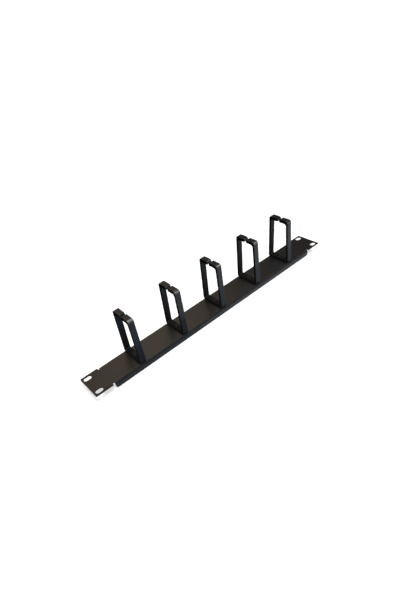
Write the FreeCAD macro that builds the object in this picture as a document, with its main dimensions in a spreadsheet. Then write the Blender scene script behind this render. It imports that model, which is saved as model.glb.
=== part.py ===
"""Horizontal cable manager for a 19 inch rack, one unit high, with five open cable rings.

Millimetres. +X runs along the panel, +Y across it and +Z out of its face, toward the cables.
The origin is the centre of the four rack slots, on the rear face of the panel's ears.

The panel is one folded steel sheet. Each ring is one plastic moulding, an open trapezoid that
stands on the panel's face and is held there by one rivet through its base. Its two arms flex
apart, so that a cable can be pressed in through the mouth between them.
"""

import FreeCAD, Part
import math
import os

import Sketcher
from FreeCAD import Vector

# ---------------------------------------------------------------- driving dimensions

SIZES = [
    ("panel_length", 482.6, "across both ears: the 19 inch rack width"),
    ("panel_height", 44.4, "one rack unit of 44.45, less a little so that neighbours clear"),
    ("sheet_thickness", 1.5, "of the folded sheet"),
    ("corner_radius", 1.5, "of the four corners of the ears"),
    ("ear_length", 31.3, "from the panel's end to the end of its flanges"),
    ("flange_depth", 10.0, "from the front face to the flange's free edge"),
    ("fold_radius", 1.5, "inside radius of the two folds"),
    ("flange_corner", 4.0, "radius of the flange's free corners"),
    ("relief_width", 3.0, "of the notch that frees each end of a fold"),
    ("relief_margin", 0.5, "how far that notch reaches past the fold"),
    ("slot_inset", 8.75, "from the panel's end to a slot's centre: 465.1 between columns"),
    ("slot_margin", 6.325, "from the panel's long edge to a slot's centre: 31.75 apart"),
    ("slot_length", 12.0, "of a rack slot, end to end"),
    ("slot_width", 7.5, "of a rack slot"),
    ("ring_count", 5, "rings along the panel"),
    ("ring_pitch", 80.0, "from one ring to the next"),
    ("ring_margin", 0.6, "from the panel's long edge to a leg's outside, at the panel's face"),
    ("ring_lean", 2.5, "how far each leg leans in over the ring's height"),
    ("ring_height", 78.5, "outside height above the panel's face"),
    ("ring_width", 9.2, "of the moulding, along the panel"),
    ("base_thickness", 4.5, "of the ring's base, which lies on the panel"),
    ("leg_thickness", 4.0, "of a leg, square to its slope"),
    ("arm_thickness", 5.5, "of the two arms over the cables"),
    ("foot_corner", 4.0, "outside radius from the base to a leg"),
    ("shoulder_corner", 3.5, "outside radius from a leg to its arm"),
    ("foot_fillet", 2.0, "inside radius from the base to a leg"),
    ("shoulder_fillet", 4.0, "inside radius from a leg to its arm"),
    ("mouth_gap", 3.0, "of the ring's mouth, between the ends of its arms"),
    ("arm_end", 2.5, "radius of an arm's end, on its upper side"),
    ("ring_edge", 1.0, "bevel along the moulding's long edges"),
    ("rivet_diameter", 4.0, "of the rivet's shank"),
    ("rivet_clearance", 0.1, "all round the shank, in the ring and in the panel"),
    ("head_diameter", 7.0, "of the rivet's head, inside the ring"),
    ("head_height", 1.2, "of that head"),
    ("tail_diameter", 6.4, "of the rivet's formed tail, behind the panel"),
    ("tail_height", 1.4, "of that tail"),
    ("head_bevel", 0.7, "bevel of the head's outer edge"),
]

doc = FreeCAD.newDocument("cable_manager")
sheet = doc.addObject("Spreadsheet::Sheet", "sizes")
for row, (alias, value, meaning) in enumerate(SIZES, start=1):
    sheet.set("A%d" % row, str(value))
    sheet.setAlias("A%d" % row, alias)
    sheet.set("B%d" % row, meaning)
doc.recompute()


def number(formula):
    """What a formula of sheet values, such as "sizes.slot_width / 2", comes to."""
    return float(sheet.evalExpression(formula))


# ---------------------------------------------------------------- sketching


class Drawing:
    """A sketch on one of a body's own origin planes, with its dimensions bound to the sheet.

    A vertex is a pair (geometry, end), with end 1 for a start, 2 for an end and 3 for a centre.
    """

    ORIGIN = (-1, 1)

    def __init__(self, body, name, role):
        self.sketch = body.newObject("Sketcher::SketchObject", body.Name + "_" + name)
        self.sketch.AttachmentSupport = [(origin_feature(body, role), "")]
        self.sketch.MapMode = "FlatFace"

    def tie(self, kind, *rule):
        return self.sketch.addConstraint(Sketcher.Constraint(kind, *rule))

    def size(self, kind, *rule):
        """A dimension: its last argument is the formula that gives its value."""
        formula = rule[-1]
        index = self.tie(kind, *rule[:-1], number(formula))
        self.sketch.setExpression("Constraints[%d]" % index, formula)

    def on_axis(self, geometry, end, upright=False):
        """Holds a vertex on the sketch's level axis, or on its upright one."""
        self.tie("PointOnObject", geometry, end, -2 if upright else -1)

    def place(self, vertex, x_formula, y_formula):
        """Holds a vertex at a distance from the origin, on the side where it was drawn."""
        drawn = self.sketch.getPoint(*vertex)
        for kind, coordinate, formula in (
            ("DistanceX", drawn.x, x_formula),
            ("DistanceY", drawn.y, y_formula),
        ):
            if formula is None:
                continue
            ends = (*self.ORIGIN, *vertex) if coordinate > 0 else (*vertex, *self.ORIGIN)
            self.size(kind, *ends, formula)

    def line(self, start, end, construction=False):
        return self.sketch.addGeometry(
            Part.LineSegment(Vector(*start, 0), Vector(*end, 0)), construction
        )

    def circle(self, centre, formula):
        """A full circle with the diameter that the formula gives."""
        shape = Part.Circle(Vector(*centre, 0), Vector(0, 0, 1), number(formula) / 2)
        index = self.sketch.addGeometry(shape, False)
        self.size("Diameter", index, formula)
        return index

    def half_circle(self, centre, radius, start):
        """Half a circle, anticlockwise from its start angle."""
        circle = Part.Circle(Vector(*centre, 0), Vector(0, 0, 1), radius)
        return self.sketch.addGeometry(Part.ArcOfCircle(circle, start, start + math.pi), False)

    def bevel(self, run, formula):
        """Makes a slanted run step as far across as it does up."""
        start, end = self.sketch.getPoint(run, 1), self.sketch.getPoint(run, 2)
        for kind, forward in (("DistanceX", end.x > start.x), ("DistanceY", end.y > start.y)):
            ends = (run, 1, run, 2) if forward else (run, 2, run, 1)
            self.size(kind, *ends, formula)

    def path(self, corners, radii, closed=True):
        """Straight runs through the corners, with an arc at each corner that has a radius.

        Runs that are drawn level or upright are held so, and each arc is tangent to its runs.
        Returns the runs and a dictionary of the arcs by corner.
        """
        count = len(corners)
        arcs = {}
        cuts = {}
        for i, radius in radii.items():
            around = (corners[i - 1], corners[i], corners[(i + 1) % count])
            cuts[i] = rounded_corner(*around, number(radius))
        runs = []
        for i in range(count if closed else count - 1):
            j = (i + 1) % count
            start = cuts[i][1] if i in cuts else corners[i]
            end = cuts[j][0] if j in cuts else corners[j]
            runs.append(self.line(start, end))
            if math.isclose(start[1], end[1], abs_tol=1e-9):
                self.tie("Horizontal", runs[-1])
            if math.isclose(start[0], end[0], abs_tol=1e-9):
                self.tie("Vertical", runs[-1])
        for i in range(0 if closed else 1, count if closed else count - 1):
            if i in cuts:
                arcs[i] = self.corner_arc(runs[i - 1], runs[i], *cuts[i])
            else:
                self.tie("Coincident", runs[i - 1], 2, runs[i], 1)
        return runs, arcs

    def corner_arc(self, run_in, run_out, start, end, centre):
        """The arc from one run to the next, tangent to both."""
        angles = [math.atan2(p[1] - centre[1], p[0] - centre[0]) for p in (start, end)]
        turn = (angles[1] - angles[0] + math.pi) % (2 * math.pi) - math.pi
        circle = Part.Circle(Vector(*centre, 0), Vector(0, 0, 1), math.dist(start, centre))
        first = angles[0] if turn > 0 else angles[1]
        arc = self.sketch.addGeometry(Part.ArcOfCircle(circle, first, first + abs(turn)), False)
        near, far = (1, 2) if turn > 0 else (2, 1)
        self.tie("Tangent", run_in, 2, arc, near)
        self.tie("Tangent", arc, far, run_out, 1)
        return arc


def rounded_corner(before, corner, after, radius):
    """Start, end and centre of the arc that rounds a corner."""
    here = Vector(*corner, 0)
    back = (Vector(*before, 0) - here).normalize()
    ahead = (Vector(*after, 0) - here).normalize()
    half = back.getAngle(ahead) / 2
    run = radius / math.tan(half)
    inward = (back + ahead).normalize() * (radius / math.sin(half))
    return [(p.x, p.y) for p in (here + back * run, here + ahead * run, here + inward)]


# ---------------------------------------------------------------- features


def origin_feature(body, role):
    """The body's own plane or axis, such as XY_Plane or X_Axis."""
    return next(f for f in body.Origin.OriginFeatures if f.Role == role)


def new_body(label):
    body = doc.addObject("PartDesign::Body", label)
    body.Label = label
    return body


def add(body, kind, name, **values):
    """A PartDesign feature. A value whose text names the sheet is bound as a formula."""
    feature = body.newObject("PartDesign::" + kind, body.Name + "_" + name)
    for key, value in values.items():
        if isinstance(value, str) and "sizes." in value:
            feature.setExpression(key, value)
        else:
            setattr(feature, key, value)
    return feature


def cut(body, name, drawing, **values):
    """A pocket, checked to take material away."""
    doc.recompute()
    before = body.Shape.Volume
    pocket = add(body, "Pocket", name, Profile=drawing.sketch, **values)
    doc.recompute()
    if body.Shape.Volume >= before:
        raise RuntimeError(pocket.Name + " cuts nothing")
    return pocket


def repeat(body, kind, name, original, **values):
    """A mirror or a pattern of one feature, set as the body's tip."""
    copy = add(body, kind, name, Originals=[original], **values)
    body.Tip = copy
    doc.recompute()
    return copy


def mirror_across(body, name, original):
    """The same feature on the other side of the panel's long centre line."""
    plane = (origin_feature(body, "XZ_Plane"), [""])
    return repeat(body, "Mirrored", name, original, MirrorPlane=plane)


def round_edges(body, name, radius, wanted):
    """A fillet on the edges of the body's present shape that the test wants."""
    add(body, "Fillet", name, Base=chosen_edges(body, wanted), Radius=radius)
    doc.recompute()


def bevel_edges(body, name, size, wanted):
    """A bevel on the edges of the body's present shape that the test wants."""
    add(body, "Chamfer", name, Base=chosen_edges(body, wanted), Size=size)
    doc.recompute()


def chosen_edges(body, wanted):
    doc.recompute()
    tip = body.Tip
    return tip, ["Edge%d" % i for i, e in enumerate(tip.Shape.Edges, start=1) if wanted(e)]


def edge_ends(edge):
    return [vertex.Point for vertex in edge.Vertexes]


# ---------------------------------------------------------------- the panel

PANEL_EDGE = "sizes.panel_height / 2"
FLANGE_END = "(sizes.panel_length / 2 - sizes.ear_length)"
FOLD_OUTSIDE = "sizes.fold_radius + sizes.sheet_thickness"
FOLD_ROOT = PANEL_EDGE + " - (" + FOLD_OUTSIDE + " + sizes.relief_margin)"
SLOT_ACROSS = "(sizes.panel_length / 2 - sizes.slot_inset)"
SLOT_UP = "(sizes.panel_height / 2 - sizes.slot_margin)"
RIVET_HOLE = "sizes.rivet_diameter + 2 * sizes.rivet_clearance"
FIRST_RING = "(sizes.ring_count - 1) / 2 * sizes.ring_pitch"


def centred_rectangle(drawing, width, height):
    """A rectangle about the origin, between the sizes that its width and height name."""
    x, y = number(width) / 2, number(height) / 2
    runs, arcs = drawing.path([(-x, -y), (x, -y), (x, y), (-x, y)], {})
    for opposite in (runs[0], runs[2]):
        drawing.place((opposite, 1), width + " / 2", height + " / 2")


def make_panel():
    """One sheet: a long face with ears, and both long edges folded back between the ears."""
    body = new_body("panel")
    outline = Drawing(body, "outline", "XY_Plane")
    centred_rectangle(outline, "sizes.panel_length", "sizes.panel_height")
    add(body, "Pad", "face", Profile=outline.sketch, Length="sizes.sheet_thickness")
    round_edges(body, "ear_corners", "sizes.corner_radius", is_upright)
    cut_relief(body)
    fold_flanges(body)
    cut_slots(body)
    cut_rivet_holes(body)
    return body


def is_upright(edge):
    start, end = edge_ends(edge)
    return math.dist(start[:2], end[:2]) < 1e-6


def cut_relief(body):
    """Takes back each long edge over the flange and the notch at each of its ends."""
    reach = FLANGE_END + " + sizes.relief_width"
    x, low, high = number(reach), number(FOLD_ROOT), number(PANEL_EDGE)
    strip = Drawing(body, "relief_outline", "XY_Plane")
    runs, arcs = strip.path([(-x, low), (x, low), (x, high), (-x, high)], {})
    strip.place((runs[0], 1), reach, FOLD_ROOT)
    strip.place((runs[2], 1), reach, PANEL_EDGE)
    relief = cut(body, "relief", strip, Length="sizes.sheet_thickness", Reversed=True)
    mirror_across(body, "relief_below", relief)


def fold_flanges(body):
    """The bent edge: a flat that meets the face, the fold, and the flange behind it."""
    depth = "sizes.flange_depth - sizes.sheet_thickness"
    root, outside = number(FOLD_ROOT), number(PANEL_EDGE)
    sheet_thickness = number("sizes.sheet_thickness")
    low, inside = -number(depth), outside - sheet_thickness
    corners = [
        (root, 0),
        (inside, 0),
        (inside, low),
        (outside, low),
        (outside, sheet_thickness),
        (root, sheet_thickness),
    ]
    section = Drawing(body, "fold_section", "YZ_Plane")
    runs, arcs = section.path(corners, {1: "sizes.fold_radius", 4: FOLD_OUTSIDE})
    section.on_axis(runs[0], 1)
    section.place((runs[0], 1), FOLD_ROOT, None)
    section.place((runs[2], 2), PANEL_EDGE, depth)
    section.size("DistanceY", runs[5], 2, runs[5], 1, "sizes.sheet_thickness")
    section.size("DistanceX", runs[2], 1, runs[2], 2, "sizes.sheet_thickness")
    section.size("Radius", arcs[1], "sizes.fold_radius")
    section.size("Radius", arcs[4], FOLD_OUTSIDE)
    fold = add(
        body,
        "Pad",
        "fold",
        Profile=section.sketch,
        SideType="Symmetric",
        Length="2 * " + FLANGE_END,
    )
    mirror_across(body, "fold_below", fold)
    end = number(FLANGE_END)

    def at_free_corner(edge):
        middle = edge.CenterOfMass
        return abs(abs(middle.x) - end) < 1e-6 and abs(middle.z - low) < 1e-6

    round_edges(body, "flange_corners", "sizes.flange_corner", at_free_corner)


def cut_slots(body):
    """Four obround slots, on the rack's own hole spacing."""
    straight = "sizes.slot_length - sizes.slot_width"
    radius = number("sizes.slot_width / 2")
    left = -number(SLOT_ACROSS) - number(straight) / 2
    right = left + number(straight)
    middle = -number(SLOT_UP)
    slot = Drawing(body, "slot_outline", "XY_Plane")
    lower = slot.line((left, middle - radius), (right, middle - radius))
    upper = slot.line((right, middle + radius), (left, middle + radius))
    right_cap = slot.half_circle((right, middle), radius, -math.pi / 2)
    left_cap = slot.half_circle((left, middle), radius, math.pi / 2)
    around = (lower, right_cap, upper, left_cap, lower)
    for one, following in zip(around, around[1:]):
        slot.tie("Tangent", one, 2, following, 1)
    slot.tie("Horizontal", lower)
    slot.tie("Horizontal", upper)
    slot.size("DistanceX", left_cap, 3, right_cap, 3, straight)
    slot.size("Radius", right_cap, "sizes.slot_width / 2")
    slot.place((left_cap, 3), "%s + (%s) / 2" % (SLOT_ACROSS, straight), SLOT_UP)
    pocket = cut(body, "slot", slot, Length="sizes.sheet_thickness", Reversed=True)
    repeat(
        body,
        "LinearPattern",
        "slots",
        pocket,
        Direction=(origin_feature(body, "X_Axis"), [""]),
        Length="2 * " + SLOT_ACROSS,
        Occurrences=2,
        Direction2=(origin_feature(body, "Y_Axis"), [""]),
        Length2="2 * " + SLOT_UP,
        Occurrences2=2,
    )


def cut_rivet_holes(body):
    """One hole under the middle of each ring."""
    hole = Drawing(body, "rivet_hole_outline", "XY_Plane")
    circle = hole.circle((-number(FIRST_RING), 0), RIVET_HOLE)
    hole.place((circle, 3), FIRST_RING, None)
    hole.on_axis(circle, 3)
    pocket = cut(body, "rivet_hole", hole, Length="sizes.sheet_thickness", Reversed=True)
    repeat(
        body,
        "LinearPattern",
        "rivet_holes",
        pocket,
        Direction=(origin_feature(body, "X_Axis"), [""]),
        Mode="Spacing",
        Offset="sizes.ring_pitch",
        Occurrences="sizes.ring_count",
    )


# ---------------------------------------------------------------- a ring

RING_BASE = PANEL_EDGE + " - sizes.ring_margin"
RING_TOP = RING_BASE + " - sizes.ring_lean"


def draw_half_ring(body):
    """Half of the moulding, seen along the panel: half the base, a leg and its arm."""
    base, top, height = number(RING_BASE), number(RING_TOP), number("sizes.ring_height")
    floor = number("sizes.base_thickness")
    underside = height - number("sizes.arm_thickness")
    mouth = number("sizes.mouth_gap") / 2
    lean = (base - top) / height
    inset = number("sizes.leg_thickness") * math.hypot(1, lean)
    corners = [
        (0, 0),
        (base, 0),
        (top, height),
        (mouth, height),
        (mouth, underside),
        (base - lean * underside - inset, underside),
        (base - lean * floor - inset, floor),
        (0, floor),
    ]
    radii = {
        1: "sizes.foot_corner",
        2: "sizes.shoulder_corner",
        3: "sizes.arm_end",
        5: "sizes.shoulder_fillet",
        6: "sizes.foot_fillet",
    }
    half = Drawing(body, "half_outline", "YZ_Plane")
    runs, arcs = half.path(corners, radii)
    under_base, outer_leg, over_arm, mouth_face, under_arm, inner_leg, over_base = runs[:7]
    half.tie("Coincident", under_base, 1, *Drawing.ORIGIN)
    slope = half.line((base, 0), (top, height), construction=True)
    half.on_axis(slope, 1)
    half.place((slope, 1), RING_BASE, None)
    half.place((slope, 2), RING_TOP, "sizes.ring_height")
    half.tie("PointOnObject", outer_leg, 1, slope)
    half.tie("PointOnObject", outer_leg, 2, slope)
    half.place((over_arm, 1), None, "sizes.ring_height")
    half.place((mouth_face, 2), "sizes.mouth_gap / 2", "sizes.ring_height - sizes.arm_thickness")
    half.tie("Parallel", inner_leg, slope)
    half.size("Distance", inner_leg, 1, slope, "sizes.leg_thickness")
    half.place((over_base, 1), None, "sizes.base_thickness")
    for corner, radius in radii.items():
        half.size("Radius", arcs[corner], radius)
    return half.sketch


def make_ring(index):
    """One moulding: its outline mirrored, its long edges bevelled, the rivet's hole through it."""
    body = new_body("ring_%d" % (index + 1))
    half = add(
        body,
        "Pad",
        "half",
        Profile=draw_half_ring(body),
        SideType="Symmetric",
        Length="sizes.ring_width",
    )
    doc.recompute()
    mirror_across(body, "other_half", half)
    side = number("sizes.ring_width") / 2

    def on_a_side(edge):
        return all(abs(abs(point.x) - side) < 1e-6 for point in edge_ends(edge)) and (
            abs(abs(edge.CenterOfMass.x) - side) < 1e-6
        )

    bevel_edges(body, "long_edges", "sizes.ring_edge", on_a_side)
    hole = Drawing(body, "rivet_hole_outline", "XY_Plane")
    circle = hole.circle((0, 0), RIVET_HOLE)
    hole.tie("Coincident", circle, 3, *Drawing.ORIGIN)
    cut(body, "rivet_hole", hole, Length="sizes.base_thickness", Reversed=True)
    stand(body, index, "sizes.sheet_thickness")
    return body


def stand(body, index, height):
    """Puts a body at its ring's place along the panel, at a height above the ears' rear."""
    body.setExpression("Placement.Base.x", "%d * sizes.ring_pitch - %s" % (index, FIRST_RING))
    if height:
        body.setExpression("Placement.Base.z", height)


# ---------------------------------------------------------------- a rivet


def make_rivet(index):
    """A turned profile: the head on the ring's base, the shank, and the tail behind."""
    body = new_body("rivet_%d" % (index + 1))
    grip = "sizes.sheet_thickness + sizes.base_thickness"
    top = grip + " + sizes.head_height"
    shank = number("sizes.rivet_diameter / 2")
    head = number("sizes.head_diameter / 2")
    tail = number("sizes.tail_diameter / 2")
    low, high = -number("sizes.tail_height"), number(top)
    bevel = number("sizes.head_bevel")
    corners = [
        (0, low),
        (tail, low),
        (tail, 0),
        (shank, 0),
        (shank, number(grip)),
        (head, number(grip)),
        (head, high - bevel),
        (head - bevel, high),
        (0, high),
    ]
    profile = Drawing(body, "profile", "XZ_Plane")
    runs, arcs = profile.path(corners, {})
    tail_end, tail_side, tail_seat, shank_side, head_seat, head_side, head_bevel, head_top = runs[:8]
    profile.on_axis(tail_end, 1, upright=True)
    profile.place((tail_end, 2), "sizes.tail_diameter / 2", "sizes.tail_height")
    profile.on_axis(tail_seat, 1)
    profile.place((shank_side, 2), "sizes.rivet_diameter / 2", grip)
    profile.place((head_side, 1), "sizes.head_diameter / 2", None)
    profile.place((head_top, 2), None, top)
    profile.bevel(head_bevel, "sizes.head_bevel")
    add(body, "Revolution", "turned", Profile=profile.sketch, ReferenceAxis=(profile.sketch, ["V_Axis"]))
    stand(body, index, None)
    return body


# ---------------------------------------------------------------- build, check and write

bodies = [make_panel()]
for ring_index in range(round(number("sizes.ring_count"))):
    bodies.append(make_ring(ring_index))
    bodies.append(make_rivet(ring_index))
doc.recompute()

for item in doc.Objects:
    if {"Invalid", "Error"} & set(item.State):
        raise RuntimeError("%s failed: %s" % (item.Name, item.State))
os.makedirs("parts", exist_ok=True)
for body in bodies:
    if body.Shape.isNull() or not body.Shape.isValid():
        raise RuntimeError(body.Label + " has no valid shape")
    body.Shape.exportStep("parts/%s.step" % body.Label)
    print("%-8s %d solid, %9.1f mm3" % (body.Label, len(body.Shape.Solids), body.Shape.Volume))
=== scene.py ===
# %% [markdown]
# # A cable manager for a rack of servers, dressed for a studio shot
#
# The part is one folded steel panel that screws across the front of a rack, with five open rings
# riveted along it. Patch cables lie in the rings. The panel wears one coat of black powder paint
# and the rings are black mouldings, so nearly all of the character comes from how two black
# surfaces take light: a fine skin, soft bright lines along each bend, and very dark sides.
#
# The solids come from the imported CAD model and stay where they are. This lesson adds what a solid
# can't carry: the skins, the rings' soft edges, the rivets' domed heads, the studio, the lamps and
# the camera.

import math

import bmesh
import bpy
from mathutils import Matrix, Vector


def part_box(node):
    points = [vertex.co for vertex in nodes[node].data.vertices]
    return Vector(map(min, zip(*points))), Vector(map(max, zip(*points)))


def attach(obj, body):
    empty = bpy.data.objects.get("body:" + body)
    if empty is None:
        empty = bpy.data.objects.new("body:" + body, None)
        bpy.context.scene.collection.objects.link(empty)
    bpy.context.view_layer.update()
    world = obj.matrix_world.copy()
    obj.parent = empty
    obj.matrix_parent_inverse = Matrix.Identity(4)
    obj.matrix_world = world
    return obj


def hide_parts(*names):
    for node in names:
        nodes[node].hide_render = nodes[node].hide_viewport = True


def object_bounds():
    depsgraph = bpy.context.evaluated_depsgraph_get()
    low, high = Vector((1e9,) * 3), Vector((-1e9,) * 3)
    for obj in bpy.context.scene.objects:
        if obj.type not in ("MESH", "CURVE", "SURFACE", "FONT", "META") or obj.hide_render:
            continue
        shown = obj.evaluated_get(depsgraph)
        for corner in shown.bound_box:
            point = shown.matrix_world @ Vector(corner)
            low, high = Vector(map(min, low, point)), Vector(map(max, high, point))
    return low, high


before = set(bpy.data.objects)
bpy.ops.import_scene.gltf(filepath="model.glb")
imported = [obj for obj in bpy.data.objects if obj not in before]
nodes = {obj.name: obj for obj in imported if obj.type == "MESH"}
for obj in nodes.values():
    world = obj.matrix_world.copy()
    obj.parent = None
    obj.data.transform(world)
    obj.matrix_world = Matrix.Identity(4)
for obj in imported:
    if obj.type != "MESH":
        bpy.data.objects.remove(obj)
cad_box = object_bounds()
MM = 0.001
print("nodes", sorted(nodes))
print("CAD box, mm", [[round(v / MM, 2) for v in corner] for corner in cad_box])

# %% [markdown]
# ## Writing shader sums as sums
#
# A material is a net of nodes, and a net is hard to read as code when every plus sign takes three
# lines. One small class wraps an output socket and turns +, - and * into Math nodes, so a mask can
# be written as it would be on paper. A second class is the can of paint itself: it holds the node
# tree and has the one method that adds any other node.


# %% A socket that can be added and multiplied
class Wire:
    """A number on its way between two nodes, with the arithmetic that this file uses."""

    def __init__(self, tree, socket):
        self.tree = tree
        self.socket = socket

    def _sum(self, operation, first, second):
        node = self.tree.nodes.new("ShaderNodeMath")
        node.operation = operation
        for place, value in zip(node.inputs, (first, second)):
            if isinstance(value, Wire):
                self.tree.links.new(value.socket, place)
            else:
                place.default_value = value
        return Wire(self.tree, node.outputs[0])

    def __add__(self, other):
        return self._sum("ADD", self, other)

    def __sub__(self, other):
        return self._sum("SUBTRACT", self, other)

    def __rsub__(self, other):
        return self._sum("SUBTRACT", other, self)

    def __mul__(self, other):
        return self._sum("MULTIPLY", self, other)

    __radd__ = __add__
    __rmul__ = __mul__


# %% A material under construction
class Finish:
    """One material or world: its node tree, and the method that adds a node to it."""

    def __init__(self, owner):
        owner.use_nodes = True
        self.owner = owner
        self.tree = owner.node_tree
        self.tree.nodes.clear()

    def node(self, kind, settings=None, **sockets):
        """Adds a node, makes its settings, then fills its sockets with values or wires."""
        node = self.tree.nodes.new("ShaderNode" + kind)
        for name, value in (settings or {}).items():
            setattr(node, name, value)
        for name, value in sockets.items():
            self.fill(node, name.replace("_", " "), value)
        return node

    def fill(self, node, name, value):
        """Puts one value or wire into the named socket, or into a numbered one such as in0."""
        numbered = name[:2] == "in" and name[2:].isdigit()
        place = node.inputs[int(name[2:])] if numbered else node.inputs[name]
        if isinstance(value, Wire):
            self.tree.links.new(value.socket, place)
        else:
            place.default_value = value

    def out(self, node, name=0):
        """One output of a node, as a wire."""
        return Wire(self.tree, node.outputs[name])

    def ramp(self, value, start, end, low=0.0, high=1.0):
        """A wire that goes from low to high while the value goes from start to end."""
        return self.out(self.node("MapRange", Value=value, From_Min=start, From_Max=end,
                                  To_Min=low, To_Max=high))


# %% [markdown]
# ## The powder coat
#
# Powder paint is sprayed on dry and baked until it flows together. It never flows quite flat, so
# the skin keeps a fine pebble that spreads every reflection. What is seen on a black coat is
# mostly the room, so its gloss matters more than its colour.
#
# A flat dark colour would look like a hole in the picture. Here noise textures do the work: a
# pebble of about a millimetre and a finer grain on top of it go into the bump, and a slow
# mottle, several centimetres wide, changes the roughness and the tone a little, as the thickness
# of a real coat does.
#
# Two places differ from the rest of a skin. Paint draws thin and dry over an outside bend, so the
# panel's folds are rougher. On a ring, cables rub the corners over its legs bright. Each is a mask
# made from the place on the part, and one function per mask keeps the recipe itself short.


# %% A black skin with its grain
PEBBLE_HEIGHT, GRAIN_HEIGHT = 0.7, 0.3
GRAINS_PER_PEBBLE = 3
BUMP_DEPTH = 0.02 * MM
DARKEST, LIGHTEST = 0.7, 1.3
MOTTLE_IN_TONE, PEBBLE_IN_TONE, MIDDLE_TONE = 0.8, 0.5, 0.25
MOTTLE_IN_GLOSS, PEBBLE_IN_GLOSS = 0.12, 0.08
CLEAR_GLOSS_ROUGHNESS = 0.12


def black_skin(name, tone, gloss, shine, pebble, pebble_size, mottle_size, dull=None, polish=None):
    """A black surface: tone is its linear colour, gloss its roughness, shine its specular level.

    The pebble is the bump's strength, and the sizes are those of the pebble and of the mottle.
    Dull and polish are functions of the finish and the place: one gives roughness to add
    somewhere, the other how strong a clear gloss lies there.
    """
    skin = Finish(bpy.data.materials.new(name))
    place = skin.out(skin.node("TexCoord"), "Object")
    coarse = skin.out(skin.node("TexNoise", Vector=place, Scale=1 / pebble_size, Detail=2.0,
                                Roughness=0.55))
    fine = skin.out(skin.node("TexNoise", Vector=place, Scale=GRAINS_PER_PEBBLE / pebble_size,
                              Detail=1.0, Roughness=0.5))
    mottle = skin.out(skin.node("TexNoise", Vector=place, Scale=1 / mottle_size, Detail=3.0,
                                Roughness=0.6))
    height = coarse * PEBBLE_HEIGHT + fine * GRAIN_HEIGHT
    drift = mottle - 0.5
    dark_tone = [channel * DARKEST for channel in tone] + [1]
    light_tone = [channel * LIGHTEST for channel in tone] + [1]
    share = drift * MOTTLE_IN_TONE + height * PEBBLE_IN_TONE + MIDDLE_TONE
    colour = skin.node("Mix", {"data_type": "RGBA"}, Factor=share, in6=dark_tone, in7=light_tone)
    bump = skin.node("Bump", Strength=pebble, Distance=BUMP_DEPTH, Height=height)
    rough = drift * MOTTLE_IN_GLOSS + height * PEBBLE_IN_GLOSS + (gloss - PEBBLE_IN_GLOSS / 2)
    if dull:
        rough = rough + dull(skin, place)
    shell = skin.node("BsdfPrincipled", Base_Color=skin.out(colour, 2), Specular_IOR_Level=shine,
                      Roughness=rough, Normal=skin.out(bump), Coat_Roughness=CLEAR_GLOSS_ROUGHNESS,
                      Coat_Weight=polish(skin, place) if polish else 0.0)
    skin.node("OutputMaterial", Surface=skin.out(shell))
    print("finish", name, "with", len(skin.tree.nodes), "nodes")
    return skin.owner


# %% Where the part differs from place to place
def across_and_up(skin, place):
    """The distance from the part's middle line, either way, and the height."""
    parts = skin.node("SeparateXYZ", Vector=place)
    reach = skin.out(skin.node("Math", {"operation": "ABSOLUTE"}, in0=skin.out(parts, "Y")))
    return reach, skin.out(parts, "Z")


# %% The panel's coat, rougher over its folds
DRY_FOLD = 0.45
FACE_END, FOLD_FULL = 2.4 * MM, 1.6 * MM
FLANGE_TOP, FOLD_FOOT = -1.4 * MM, -0.8 * MM


def rough_fold(skin, place):
    """Adds roughness along the panel's two folds, where paint draws thin and dry over the bend."""
    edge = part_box("panel")[1].y
    reach, height = across_and_up(skin, place)
    past_face = skin.ramp(reach, edge - FACE_END, edge - FOLD_FULL, high=DRY_FOLD)
    over_flange = skin.ramp(height, FLANGE_TOP, FOLD_FOOT)
    return past_face * over_flange


coat = black_skin("black powder coat", tone=(0.0072, 0.0066, 0.0060), gloss=0.42, shine=0.28,
                  pebble=0.5, pebble_size=1.1 * MM, mottle_size=45 * MM, dull=rough_fold)

# %% [markdown]
# ## The ring's plastic
#
# A ring is moulded in black nylon. The mould is blasted, not polished, so the skin is satin with a
# grain finer than the paint's, and the ring is a shade colder and darker than the panel. Its base,
# its arms' tops and the inside of its legs are duller still. Its outside corners have a thin clear
# gloss, which is a second, smooth layer over the satin one: lowering the roughness there would
# lose the grain too.

# %% Satin black plastic, and the rivets' paint
BASE_THICKNESS = 4.5 * MM
COARSE_BASE, COARSE_ARMS, COARSE_LEGS = 0.75, 0.25, 0.35
LEG_LEAN = 2.5 / 78.5
INSIDE_LEG, MIDDLE_LEG = 18.2 * MM, 19.0 * MM
OVER_BASE, OFF_BASE = 0.1 * MM, 0.6 * MM
UNDER_TOP, AT_TOP = 0.5 * MM, 0.2 * MM
UNDER_ARM, IN_ARM = 7.0 * MM, 5.0 * MM


def rough_flats(skin, place):
    """Adds roughness where the mould is coarse: on the base, on the arms' tops and inside the legs."""
    foot, top = (corner.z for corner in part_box("ring_1"))
    seat = foot + BASE_THICKNESS
    reach, height = across_and_up(skin, place)
    on_base = skin.ramp(height, seat + OVER_BASE, seat + OFF_BASE, low=COARSE_BASE, high=0.0)
    on_arms = skin.ramp(height, top - UNDER_TOP, top - AT_TOP, high=COARSE_ARMS)
    inside = skin.ramp(reach + height * LEG_LEAN, INSIDE_LEG, MIDDLE_LEG, low=COARSE_LEGS, high=0.0)
    below_arms = skin.ramp(height, top - UNDER_ARM, top - IN_ARM, low=1.0, high=0.0)
    return on_base + on_arms + inside * below_arms


ARM_SIDE, LEG_SIDE = 6.4 * MM, 5.6 * MM
SHOULDER_FOOT, SHOULDER_FULL = 4.0 * MM, 3.0 * MM


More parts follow.
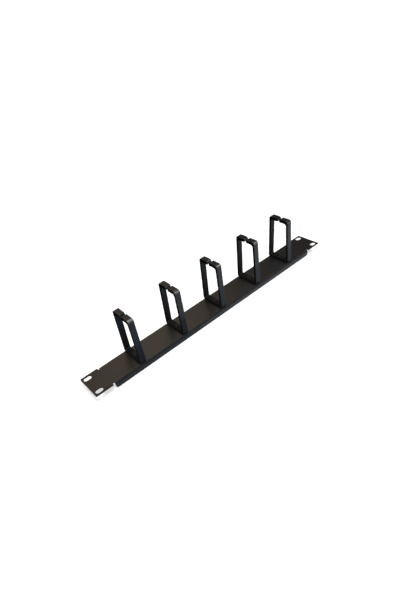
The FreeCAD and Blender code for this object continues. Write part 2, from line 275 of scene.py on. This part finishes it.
def polished_shoulders(skin, place):
    """A clear gloss on a ring's outside corners, over its legs, where cables rub it bright."""
    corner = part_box("ring_1")[1]
    reach, height = across_and_up(skin, place)
    over_leg = skin.ramp(reach, corner.y - ARM_SIDE, corner.y - LEG_SIDE)
    on_top = skin.ramp(height, corner.z - SHOULDER_FOOT, corner.z - SHOULDER_FULL)
    return over_leg * on_top


plastic = black_skin("satin black plastic", tone=(0.0042, 0.0045, 0.0052), gloss=0.22, shine=0.18,
                     pebble=0.3, pebble_size=0.6 * MM, mottle_size=25 * MM,
                     dull=rough_flats, polish=polished_shoulders)
rivet_paint = black_skin("black rivet paint", tone=(0.006, 0.006, 0.006), gloss=0.5, shine=0.15,
                         pebble=0.2, pebble_size=0.8 * MM, mottle_size=6 * MM)

# %% [markdown]
# ## Painting the panel
#
# The panel's solid already has the right shape, with its folds, slots and notches, so it stays and
# only its material slot changes.

# %% Give the panel its coat
panel = nodes["panel"]
panel.data.materials.clear()
panel.data.materials.append(coat)
print("panel faces", len(panel.data.polygons))

# %% [markdown]
# ## Outlines with round corners
#
# A ring is a shape that is seen along the panel and pulled straight through by its width. So its
# outline is worth drawing once, by its corners, with a radius at each: that is how a mould maker
# dimensions it. This helper turns corners and radii into points.


# %% Corners to points
def rounded_outline(corners, radii, steps=8):
    """Points along a closed outline, with an arc of a few steps at each corner that has a radius."""
    points = []
    for k, here in enumerate(corners):
        here = Vector(here)
        back = (Vector(corners[k - 1]) - here).normalized()
        ahead = (Vector(corners[(k + 1) % len(corners)]) - here).normalized()
        if not radii[k]:
            points.append(here)
            continue
        half = back.angle(ahead) / 2
        middle = here + (back + ahead).normalized() * radii[k] / math.sin(half)
        start = here + back * radii[k] / math.tan(half) - middle
        end = here + ahead * radii[k] / math.tan(half) - middle
        for step in range(steps + 1):
            points.append(middle + radii[k] * start.slerp(end, step / steps))
    return points


# %% [markdown]
# ## The rings
#
# Each ring is a moulding: a base that lies on the panel, two legs that lean in a little so the
# mould lets go, and two thick arms that nearly meet. A cable is pushed in through the mouth
# between them. Every long edge of a moulding is soft, and on black plastic that soft edge is the
# one place that shines, so it matters more than its size suggests.
#
# A Bevel modifier could soften the edges of an extruded outline, but it crowds the points where
# the arcs are. Instead the outline is stacked across the ring's width: near each side the next
# copy of it is drawn in along its own normals, on a quarter circle, and the copies are joined.
# Weighted normals then keep the broad faces flat in the light.

# %% Sizes of a ring, in metres
low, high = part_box("ring_1")
RING_WIDTH = high.x - low.x
RING_FOOT = low.z
RING_HEIGHT = high.z - low.z
HALF_BASE = 21.6 * MM
HALF_TOP = 19.1 * MM
LEG_THICKNESS = 4.0 * MM
ARM_THICKNESS = 5.5 * MM
HALF_MOUTH = 1.5 * MM
FOOT_CORNER, SHOULDER_CORNER = 4.0 * MM, 3.5 * MM
FOOT_FILLET, SHOULDER_FILLET = 2.0 * MM, 4.0 * MM
ARM_END, ARM_UNDERSIDE = 2.5 * MM, 1.3 * MM
SOFT_EDGE = 0.45 * MM
print("ring, mm", [round(v / MM, 2) for v in (RING_WIDTH, RING_HEIGHT, RING_FOOT)])


# %% The outline of a ring
def ring_outline():
    """The ring seen along the panel, from the base's corner round over both arms."""
    lean = (HALF_BASE - HALF_TOP) / RING_HEIGHT
    wall = LEG_THICKNESS * math.hypot(1, lean)
    under_arm = RING_HEIGHT - ARM_THICKNESS
    half = [
        (HALF_BASE, 0, FOOT_CORNER),
        (HALF_TOP, RING_HEIGHT, SHOULDER_CORNER),
        (HALF_MOUTH, RING_HEIGHT, ARM_END),
        (HALF_MOUTH, under_arm, ARM_UNDERSIDE),
        (HALF_BASE - lean * under_arm - wall, under_arm, SHOULDER_FILLET),
        (HALF_BASE - lean * BASE_THICKNESS - wall, BASE_THICKNESS, FOOT_FILLET),
    ]
    corners = [(y, z) for y, z, radius in half] + [(-y, z) for y, z, radius in reversed(half)]
    radii = [radius for y, z, radius in half]
    return rounded_outline(corners, radii + radii[::-1])


# %% Stack and join the outline
SHARPEST_MITRE = 0.5


def inward(outline, depth):
    """The outline drawn into the material by a depth, corner by corner."""
    drawn = []
    for k, point in enumerate(outline):
        before = (point - outline[k - 1]).normalized()
        after = (outline[(k + 1) % len(outline)] - point).normalized()
        across = (before + after).normalized()
        normal = Vector((-across.y, across.x))
        drawn.append(point + normal * depth / max(SHARPEST_MITRE, across.dot(before)))
    return drawn


def soft_moulding(name, outline, middle, width, soft, steps=5):
    """A piece with this outline, pulled along X, whose long edges are quarter rounds."""
    layers = []
    for step in range(steps + 1):
        angle = math.radians(90 * step / steps)
        layers.append((-width / 2 + soft * (1 - math.cos(angle)), soft * (1 - math.sin(angle))))
    form = bmesh.new()
    rows = []
    for reach, inset in layers + [(-reach, inset) for reach, inset in reversed(layers)]:
        rows.append([form.verts.new((middle.x + reach, middle.y + p.x, middle.z + p.y))
                     for p in inward(outline, inset)])
    count = len(outline)
    for first, second in zip(rows, rows[1:]):
        for k in range(count):
            form.faces.new((first[k], second[k], second[(k + 1) % count], first[(k + 1) % count]))
    form.faces.new(rows[0])
    form.faces.new(rows[-1][::-1])
    bmesh.ops.recalc_face_normals(form, faces=form.faces)
    return finish_piece(name, form)


def finish_piece(name, form):
    """Writes the form to a new object with weighted smooth normals."""
    for face in form.faces:
        face.smooth = True
    mesh = bpy.data.meshes.new(name)
    form.to_mesh(mesh)
    form.free()
    piece = bpy.data.objects.new(name, mesh)
    bpy.context.scene.collection.objects.link(piece)
    piece.modifiers.new("even light", "WEIGHTED_NORMAL").keep_sharp = True
    return piece


# %% Make the five rings
outline = ring_outline()
for k in range(1, 6):
    low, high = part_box("ring_%d" % k)
    middle = Vector(((low.x + high.x) / 2, (low.y + high.y) / 2, low.z))
    ring = soft_moulding("cable_ring_%d" % k, outline, middle, RING_WIDTH, SOFT_EDGE)
    ring.data.materials.append(plastic)
    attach(ring, "root")
    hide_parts("ring_%d" % k)
print("points round a ring", len(outline), "faces", len(ring.data.polygons))

# %% [markdown]
# ## The rivets
#
# One blind rivet holds each ring. Its head is a low dome with a small dimple in the middle, where
# the pulling pin broke off inside, and behind the panel its tail is a rounded drum. A turned part
# is a profile spun about its axis, so that is how it is made here: radius and height for each
# step of the profile, and a ring of points for each.


# %% A turned piece
def turned(name, profile, middle, steps=40):
    """Spins a profile of (radius, height) pairs about an upright axis through the middle."""
    form = bmesh.new()
    rows = []
    for reach, rise in profile:
        turn = [2 * math.pi * k / steps for k in range(steps)]
        rows.append([form.verts.new((middle.x + reach * math.cos(t), middle.y + reach * math.sin(t), rise))
                     for t in turn])
    for first, second in zip(rows, rows[1:]):
        for k in range(steps):
            form.faces.new((first[k], first[(k + 1) % steps], second[(k + 1) % steps], second[k]))
    form.faces.new(rows[0][::-1])
    form.faces.new(rows[-1])
    bmesh.ops.recalc_face_normals(form, faces=form.faces)
    return finish_piece(name, form)


# %% The profile of a rivet
SHANK, HEAD, TAIL = 2.0 * MM, 3.5 * MM, 3.2 * MM
TAIL_ROUND = ((1.6, 0.0), (2.5, 0.12), (3.0, 0.45), (3.2, 0.9))
HEAD_RIM = 0.25 * MM
DOME, DOME_STEPS = 3.45 * MM, (0.2, 0.4, 0.6, 0.75)
DIMPLE = ((1.15, 0.0), (1.0, 0.1), (0.95, 0.45))


def rivet_profile(foot, top):
    """The rivet from its tail up over the head's dome to the dimple's floor, as (radius, height)."""
    seat = RING_FOOT + BASE_THICKNESS
    rim = seat + HEAD_RIM
    profile = [(reach * MM, foot + rise * MM) for reach, rise in TAIL_ROUND]
    profile += [(TAIL, 0.0), (SHANK, 0.0), (SHANK, seat), (HEAD, seat), (HEAD, rim)]
    for share in DOME_STEPS:
        angle = share * math.pi / 2
        profile.append((DOME * math.cos(angle), rim + (top - rim) * math.sin(angle)))
    return profile + [(reach * MM, top - depth * MM) for reach, depth in DIMPLE]


# %% Make the five rivets
for k in range(1, 6):
    low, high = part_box("rivet_%d" % k)
    rivet = turned("ring_rivet_%d" % k, rivet_profile(low.z, high.z), (low + high) / 2)
    rivet.data.materials.append(rivet_paint)
    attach(rivet, "root")
    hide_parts("rivet_%d" % k)
print("rivet head, mm", round((high.x - low.x) / MM, 2), "faces", len(rivet.data.polygons))

# %% [markdown]
# ## The studio
#
# The part lies on a wide white floor in a white room. The floor sits just under the lowest edge of
# the panel and keeps the soft shadow that seats it. It could be lit until it turns white, but that
# much light would wash the black surfaces out too. Instead the floor and the room glow by
# themselves for the rays that look straight at them, or that see them in a reflection, and the
# lamps stay at a plain level. Near the part the floor glows less, so the shadow stays.

# %% Floor and room
low, high = cad_box
centre = (low + high) / 2
FLOOR_GAP, CARD_GAP = 0.2 * MM, 0.1 * MM
GROUND = low.z - FLOOR_GAP
FLOOR_REACH = 6.0
NEAR_GLOW = 0.65
SHADOW_REACH, WHITE_REACH = 0.3, 0.9
FLOOR_WHITE = (0.8, 0.8, 0.8, 1)


def disc(name, reach, steps=96):
    """A flat round floor, centred under the part."""
    form = bmesh.new()
    turn = [2 * math.pi * k / steps for k in range(steps)]
    rim = [(centre.x + reach * math.cos(t), centre.y + reach * math.sin(t), GROUND) for t in turn]
    form.faces.new([form.verts.new(point) for point in rim])
    mesh = bpy.data.meshes.new(name)
    form.to_mesh(mesh)
    form.free()
    made = bpy.data.objects.new(name, mesh)
    bpy.context.scene.collection.objects.link(made)
    return made


def straight_rays(finish):
    """1 for the rays that look straight at a surface or see it in a reflection, 0 for the rest."""
    seen = finish.node("LightPath")
    return (finish.out(seen, "Is Camera Ray") + finish.out(seen, "Is Glossy Ray")
            + finish.out(seen, "Is Transmission Ray"))


floor = disc("studio_floor", FLOOR_REACH)
white = Finish(bpy.data.materials.new("white studio floor"))
spot = white.out(white.node("TexCoord"), "Object")
away = white.out(white.node("VectorMath", {"operation": "LENGTH"}, in0=spot), "Value")
fade = white.node("MapRange", {"interpolation_type": "SMOOTHSTEP"}, Value=away,
                  From_Min=SHADOW_REACH, From_Max=WHITE_REACH, To_Min=NEAR_GLOW, To_Max=1.0)
matt = white.node("BsdfDiffuse", Color=FLOOR_WHITE)
lift = white.node("Emission", Strength=straight_rays(white) * white.out(fade))
both = white.node("AddShader", in0=white.out(matt), in1=white.out(lift))
white.node("OutputMaterial", Surface=white.out(both))
floor.data.materials.append(white.owner)

world = bpy.data.worlds.new("white room")
bpy.context.scene.world = world
room = Finish(world)
WORLD_FILL = 0.15
walls = straight_rays(room) * (1 - WORLD_FILL) + WORLD_FILL
room.node("OutputWorld", Surface=room.out(room.node("Background", Color=(1, 1, 1, 1), Strength=walls)))
print("floor at", round(GROUND / MM, 2), "mm")

# %% [markdown]
# ## Cards
#
# Black goods in a white room reflect white from every side and turn grey. A studio cures that with
# cards: a black one takes the shine off the faces that look towards it, and a pale one gives a face
# something to reflect. These cards can only be seen in reflections, so they throw no shadow and
# no camera finds them.
#
# Pale blue cards on the floor in front colour the flange and the legs. A warm one behind gives the
# panel and the arms' tops their brown tone, cut off by an upright black one toward the far end. A
# black card in front keeps the bends dark, and a small bright one draws a short glint on each.


# %% Cards that only reflections see
def card(name, corners, colour, glow):
    """A flat card through four corners, in metres, with a colour and a glow of its own."""
    mesh = bpy.data.meshes.new(name)
    mesh.from_pydata(corners, [], [(0, 1, 2, 3)])
    made = bpy.data.objects.new(name, mesh)
    bpy.context.scene.collection.objects.link(made)
    made.visible_camera = False
    made.visible_diffuse = False
    made.visible_transmission = False
    made.visible_shadow = False
    face = Finish(bpy.data.materials.new(name))
    shine = face.node("Emission", Color=(*colour, 1), Strength=glow)
    face.node("OutputMaterial", Surface=face.out(shine))
    mesh.materials.append(face.owner)
    return made


def lying(x_low, x_high, y_low, y_high):
    """The corners of a card that lies just over the floor."""
    rise = GROUND + CARD_GAP
    return [(x_low, y_low, rise), (x_high, y_low, rise), (x_high, y_high, rise), (x_low, y_high, rise)]


def facing(heading, elevation, width, height, distance):
    """The corners of a card at a heading from +Y toward +X and an elevation, facing the part."""
    turn, lift = math.radians(heading), math.radians(elevation)
    out = Vector((math.cos(lift) * math.sin(turn), math.cos(lift) * math.cos(turn), math.sin(lift)))
    level = Vector((math.cos(turn), -math.sin(turn), 0))
    middle, side, up = out * distance, level * width / 2, level.cross(out) * height / 2
    return [middle - side - up, middle + side - up, middle + side + up, middle - side + up]


# %% Set the cards
PAST_PANEL, NEAR_END, FAR_END = 0.024, 0.07, 0.5
SPLIT = -0.05
BLACK, WHITE = (0, 0, 0), (1.0, 1.0, 1.0)
card("black card behind", lying(x_low=-0.9, x_high=0.9, y_low=PAST_PANEL, y_high=1.0), BLACK, glow=0.0)
for side, x_low, x_high, colour, near, far in (("left", -FAR_END, SPLIT, (0.60, 0.80, 1.0), 0.8, 1.6),
                                               ("right", SPLIT, FAR_END, (0.75, 0.88, 1.0), 1.2, 1.9)):
    card("pale card near " + side, lying(x_low, x_high, -NEAR_END, -PAST_PANEL), colour, glow=near)
    card("pale card far " + side, lying(x_low, x_high, -FAR_END, -NEAR_END), colour, glow=far)
card("warm card behind", facing(heading=10, elevation=35, width=2.0, height=1.6, distance=1.7),
     (1.0, 0.78, 0.52), glow=0.85)
card("black card upright", facing(heading=60, elevation=16, width=1.15, height=0.8, distance=1.2),
     BLACK, glow=0.0)
card("black card in front", facing(heading=135, elevation=45, width=2.0, height=1.15, distance=1.2),
     BLACK, glow=0.0)
card("bright card on the right", facing(heading=146, elevation=40, width=0.65, height=0.2, distance=1.1),
     WHITE, glow=23.0)

# %% [markdown]
# ## Light
#
# A large softbox overhead sets the level. A smaller warm one, behind and to the right, lays a soft
# warm glow along the panel's face.


# %% Lamps
def softbox(name, place, target, width, power, colour):
    """A square lamp at a place in metres, facing a target."""
    lamp = bpy.data.lights.new(name, "AREA")
    lamp.shape = "SQUARE"
    lamp.size = width
    lamp.energy = power
    lamp.color = colour
    holder = bpy.data.objects.new(name, lamp)
    bpy.context.scene.collection.objects.link(holder)
    holder.location = place
    holder.rotation_mode = "QUATERNION"
    holder.rotation_quaternion = (Vector(target) - Vector(place)).to_track_quat("-Z", "Y")
    return holder


def around(heading, elevation, distance):
    """A place at a heading from +Y toward +X, an elevation and a distance from the part."""
    turn, lift = math.radians(heading), math.radians(elevation)
    return (distance * math.cos(lift) * math.sin(turn), distance * math.cos(lift) * math.cos(turn),
            distance * math.sin(lift))


softbox("top_softbox", (0.0, -0.1, 1.3), target=(0, 0, 0), width=0.6, power=10, colour=(0.98, 0.99, 1.0))
softbox("key_softbox", around(heading=20, elevation=50, distance=1.3), target=(-0.1, 0, 0), width=0.5,
        power=1.6, colour=(1.0, 0.82, 0.60))

# %% [markdown]
# ## Camera
#
# The part is seen from above its left front corner, close up with a wide lens, so its near end
# looks much larger than its far one. Three angles place the view: the heading, from +Y toward +X,
# the pitch down, and a roll that tips the long panel up to the right. A small lens shift sets the
# part in the frame without turning the camera, which would change how its ends converge.

# %% Camera
LENS = 24.817
PLACE = Vector((-0.3370, -0.4077, 0.4149))
HEADING, PITCH, ROLL = math.radians(34.14), math.radians(41.316), math.radians(-10.477)
LEVEL = math.cos(PITCH)
look = Vector((math.sin(HEADING) * LEVEL, math.cos(HEADING) * LEVEL, -math.sin(PITCH)))
eye = bpy.data.cameras.new("camera")
eye.lens = LENS
eye.sensor_width = 36.0
eye.shift_x, eye.shift_y = 0.02, 0.05
camera = bpy.data.objects.new("camera", eye)
bpy.context.scene.collection.objects.link(camera)
camera.location = PLACE
camera.rotation_mode = "QUATERNION"
tip = Matrix.Rotation(ROLL, 3, "Z").to_quaternion()
camera.rotation_quaternion = look.to_track_quat("-Z", "Y") @ tip
bpy.context.scene.camera = camera
bpy.context.scene.view_settings.view_transform = "Standard"
print("camera", [round(v, 4) for v in camera.location], "lens", LENS)
